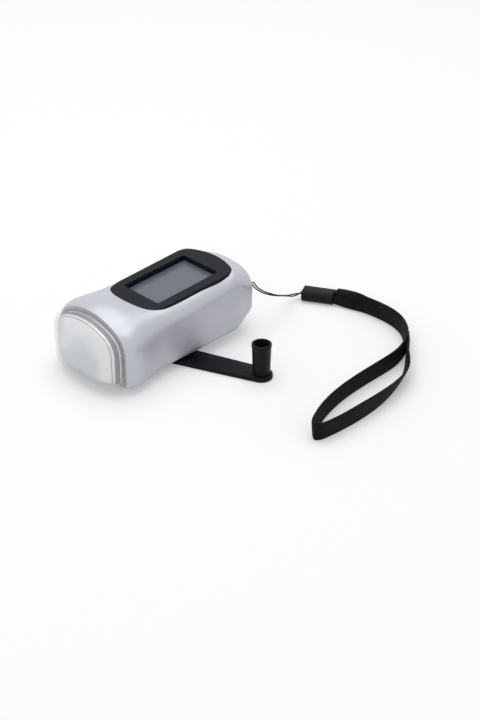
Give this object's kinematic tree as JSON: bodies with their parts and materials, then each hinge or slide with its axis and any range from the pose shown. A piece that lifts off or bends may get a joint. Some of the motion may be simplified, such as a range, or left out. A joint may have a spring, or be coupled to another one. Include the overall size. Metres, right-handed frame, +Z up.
{
  "type": "hand crank flashlight",
  "caption": "Peanut-shaped hand torch with a clear domed lens, a solar panel in a dark bezel, a fold-out winding crank with a peg knob, and a looped wrist strap.",
  "frame": {"origin": "where the crank's turning axis meets the surface that the lamp stands on", "axes": "+X along the lamp to the lens, +Y to the side that the crank is swung out to, +Z up through the solar panel"},
  "size_m": [0.1547, 0.141, 0.0375],
  "materials": {
    "silver_shell": "satin silver paint on moulded plastic",
    "clear_lens": "clear moulded acrylic",
    "reflector": "vacuum plated",
    "led_resin": "clear epoxy",
    "board": "solder mask",
    "black_trim": "satin",
    "solar_film": "glossy blue grey cell under a clear coat",
    "steel": "plain",
    "white_plastic": "moulded acetal",
    "brass": "turned",
    "copper": "enamelled winding",
    "dark_metal": "satin dark grey",
    "strap_cord": "braided cord",
    "webbing": "ribbed weave"
  },
  "bodies": {
    "lamp": {"upper_housing": "silver_shell", "lower_housing": "silver_shell", "lens": "clear_lens", "reflector": "reflector", "leds": "led_resin", "led_board": "board", "solar_bezel": "black_trim", "solar_cell": "solar_film", "solar_board": "board", "main_board": "board", "board_chip": "black_trim", "board_capacitor": "black_trim", "board_diodes": "black_trim", "board_screws": "steel", "battery_cells": "steel", "battery_tabs": "steel", "battery_holder": "white_plastic", "hub_bush": "brass", "gear_axles": "steel", "gear_plate": "white_plastic", "plate_screws": "steel", "housing_screws": "steel", "stator_can": "steel", "stator_cap": "steel", "bobbin": "white_plastic", "stator_coil": "copper", "switch_body": "black_trim", "lanyard_bar": "steel", "strap_string": "strap_cord", "strap_ferrule": "dark_metal", "strap_sewn": "webbing", "strap_loop": "webbing"},
    "crank": {"crank_hub": "black_trim", "fold_pin": "steel", "crank_gear": "white_plastic", "crank_clip": "steel"},
    "arm": {"crank_arm": "black_trim", "knob_rivet": "steel"},
    "knob": {"knob_sleeve": "black_trim"},
    "idler_a": {"idler_gear_a": "white_plastic"},
    "idler_b": {"idler_gear_b": "white_plastic"},
    "rotor": {"rotor_pinion": "brass", "rotor_shaft": "steel", "rotor_magnet": "dark_metal"},
    "button": {"switch_button": "black_trim"}
  },
  "joints": [
    {"name": "crank_turn", "type": "hinge", "parent": "lamp", "child": "crank", "pos_m": [0, 0, 0], "axis": [0, 0, 1], "continuous": true},
    {"name": "crank_fold", "type": "hinge", "parent": "crank", "child": "arm", "pos_m": [0.00302, -0.00741, 0.0015], "axis": [-0.9259, -0.3778, 0], "range_deg": [0, 180]},
    {"name": "knob_spin", "type": "hinge", "parent": "arm", "child": "knob", "pos_m": [-0.02256, 0.05527, 0], "axis": [0, 0, 1], "continuous": true},
    {"name": "idler_a_turn", "type": "hinge", "parent": "lamp", "child": "idler_a", "pos_m": [-0.015, 0, 0], "axis": [0, 0, 1], "continuous": true},
    {"name": "idler_b_turn", "type": "hinge", "parent": "lamp", "child": "idler_b", "pos_m": [-0.02797, 0.00472, 0], "axis": [0, 0, 1], "continuous": true},
    {"name": "rotor_turn", "type": "hinge", "parent": "lamp", "child": "rotor", "pos_m": [-0.03588, -0.00658, 0], "axis": [0, 0, 1], "continuous": true},
    {"name": "button_press", "type": "slide", "parent": "lamp", "child": "button", "axis": [0, 1, 0], "range_m": [0, 0.001], "stiffness_N_per_m": 400, "springref_m": -0.0005}
  ],
  "couplings": [
    {"joint": "idler_a_turn", "follows": "crank_turn", "ratio": -4},
    {"joint": "idler_b_turn", "follows": "crank_turn", "ratio": 14.4},
    {"joint": "rotor_turn", "follows": "crank_turn", "ratio": -51.84}
  ]
}
